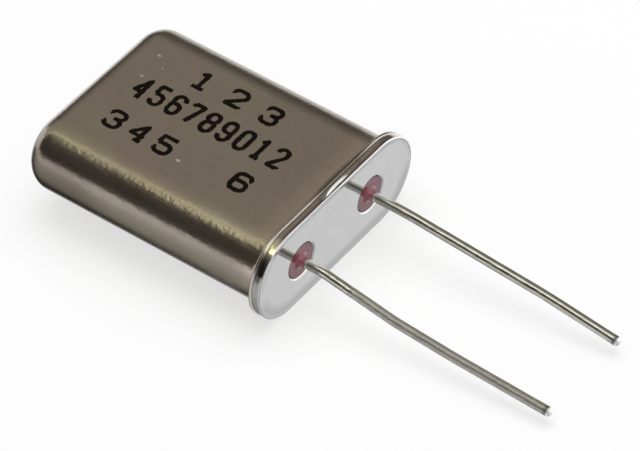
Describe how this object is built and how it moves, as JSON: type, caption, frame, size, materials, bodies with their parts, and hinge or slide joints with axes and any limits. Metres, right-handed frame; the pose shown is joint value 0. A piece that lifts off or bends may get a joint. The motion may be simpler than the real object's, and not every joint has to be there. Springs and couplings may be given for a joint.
{
  "type": "crystal oscillator",
  "caption": "Quartz crystal unit in an obround drawn metal can with a welded flanged base, glass seals and two wire leads, lying on its broad side.",
  "frame": {"origin": "centre of the base's seating face, between the two leads", "axes": "+X out of the base along the leads, +Y from the left lead to the right lead as seen facing the base, +Z out of the broad face that carries the marking"},
  "size_m": [0.0259, 0.0108, 0.0044],
  "materials": {
    "can_nickel_silver": "satin drawn nickel silver",
    "base_bright_nickel": "bright nickel plate",
    "seal_glass": "fused maroon sealing glass",
    "lead_tinned": "solder-tinned wire",
    "spring_nickel_silver": "rolled strip",
    "quartz": "polished blank",
    "electrode_silver": "evaporated silver film",
    "silver_adhesive": "cured silver-filled epoxy",
    "marking_ink": "stamped ink"
  },
  "bodies": {
    "root": {"can": "can_nickel_silver", "base_plate": "base_bright_nickel", "glass_seal_left": "seal_glass", "glass_seal_right": "seal_glass", "lead_left": "lead_tinned", "lead_right": "lead_tinned", "mounting_spring_left": "spring_nickel_silver", "mounting_spring_right": "spring_nickel_silver", "quartz_blank": "quartz", "electrode_top": "electrode_silver", "electrode_bottom": "electrode_silver", "adhesive_left": "silver_adhesive", "adhesive_right": "silver_adhesive", "ink_marking": "marking_ink"}
  },
  "joints": []
}
